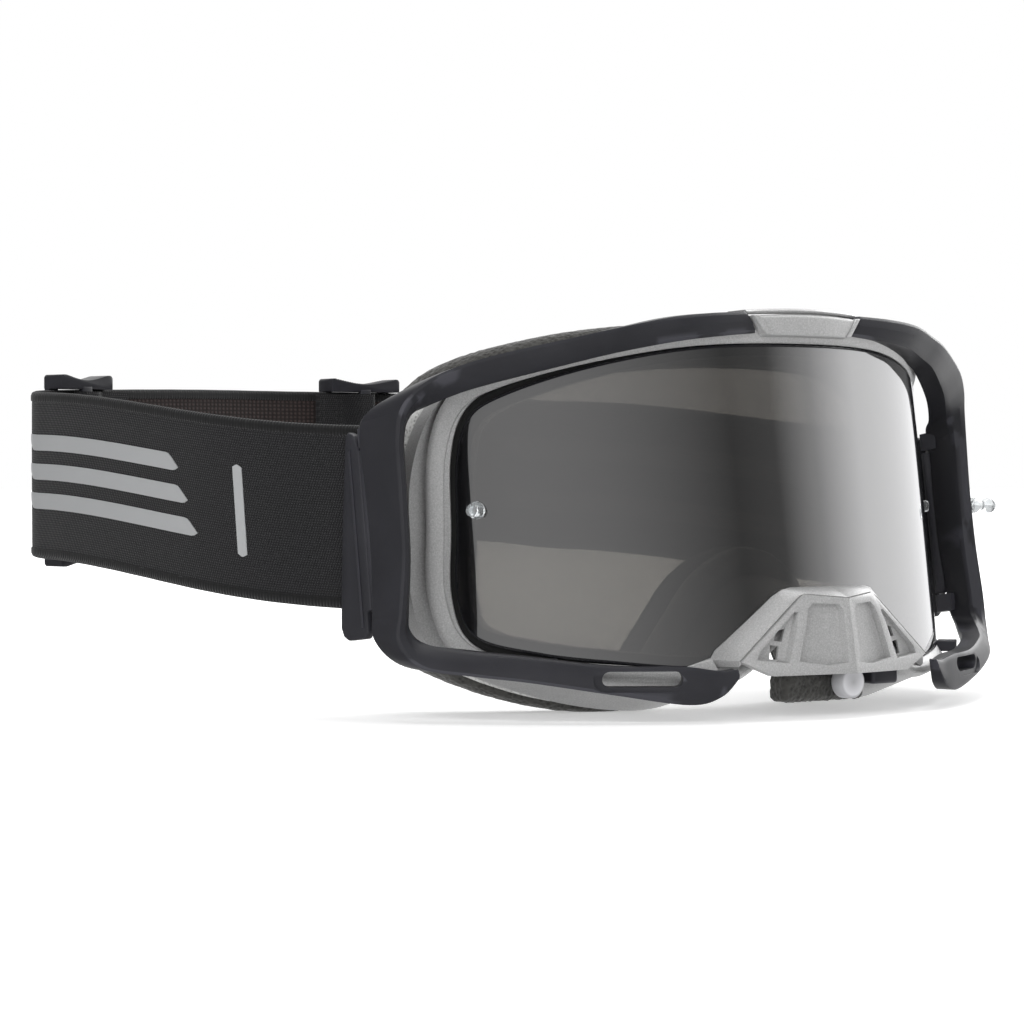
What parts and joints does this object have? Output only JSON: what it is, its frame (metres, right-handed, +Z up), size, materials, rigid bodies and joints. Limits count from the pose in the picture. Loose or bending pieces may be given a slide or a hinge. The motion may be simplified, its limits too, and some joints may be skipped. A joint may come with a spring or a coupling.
{
  "type": "off-road riding goggles",
  "caption": "Wide-view off-road goggles: curved mirrored lens, inner and outer frame, face foam, nose guard, hinged strap plates and elastic strap.",
  "frame": {"origin": "mid plane, top of the nose notch on the face side of the foam", "axes": "+Z up, -Y forward out of the lens, +X to the wearer's left"},
  "size_m": [0.2368, 0.2473, 0.1058],
  "materials": {
    "lens": "smoke lens with a silver mirror coat",
    "silver_tpu": "satin metallic silver",
    "black_plastic": "fine matt moulded black",
    "black_rubber": "matt",
    "clear_plastic": "clear, glossy",
    "grey_plastic": "satin light grey",
    "light_foam": "open-cell foam, light grey",
    "dark_foam": "open-cell foam, dark grey",
    "fleece": "short-pile fleece",
    "webbing": "woven elastic",
    "grip_rubber": "matt grip strip",
    "silver_print": "satin silver print",
    "steel": "plain"
  },
  "bodies": {
    "frame": {"lens": "lens", "lens_gasket": "black_rubber", "inner_frame": "silver_tpu", "brow_badge": "silver_tpu", "brow_badge_cap": "silver_tpu", "outer_frame_right": "black_plastic", "outer_frame_left": "black_plastic", "lens_post_right": "clear_plastic", "lens_post_left": "clear_plastic", "tab_post": "clear_plastic", "nose_clip": "grey_plastic", "nose_foam": "dark_foam", "chin_tab": "black_plastic", "foam_base": "light_foam", "foam_middle": "dark_foam", "face_fleece": "fleece", "frame_clips": "black_plastic", "hinge_lugs_right": "black_plastic", "hinge_lugs_left": "black_plastic", "hinge_pin_right": "steel", "hinge_pin_left": "steel", "strap_right": "webbing", "strap_back": "webbing", "strap_left": "webbing", "grip_strip_upper": "grip_rubber", "grip_strip_lower": "grip_rubber", "strap_bars": "silver_print"},
    "nose_guard": {"nose_guard": "silver_tpu", "nose_guard_pegs": "silver_tpu"},
    "plate_right": {"strap_plate_right": "black_plastic", "strap_anchor_right": "webbing"},
    "plate_left": {"strap_plate_left": "black_plastic", "strap_anchor_left": "webbing"},
    "adjuster_right": {"strap_adjuster_right": "black_plastic", "sewn_loop_right": "webbing"},
    "adjuster_left": {"strap_adjuster_left": "black_plastic", "sewn_loop_left": "webbing"}
  },
  "joints": [
    {"name": "plate_right_hinge", "type": "hinge", "parent": "frame", "child": "plate_right", "pos_m": [-0.0995, 0.0176, 0.017], "axis": [0, 0.1444, 0.9895], "range_deg": [-6, 16]},
    {"name": "plate_left_hinge", "type": "hinge", "parent": "frame", "child": "plate_left", "pos_m": [0.0995, 0.0176, 0.017], "axis": [0, 0.1444, 0.9895], "range_deg": [-16, 6]},
    {"name": "adjuster_right_slide", "type": "slide", "parent": "frame", "child": "adjuster_right", "axis": [0.972, 0.235, 0], "range_m": [0, 0.006]},
    {"name": "adjuster_left_slide", "type": "slide", "parent": "frame", "child": "adjuster_left", "axis": [1, 0, 0], "range_m": [-0.012, 0.008]},
    {"name": "nose_guard_pull", "type": "slide", "parent": "frame", "child": "nose_guard", "axis": [0, -1, 0], "range_m": [0, 0.014]}
  ]
}
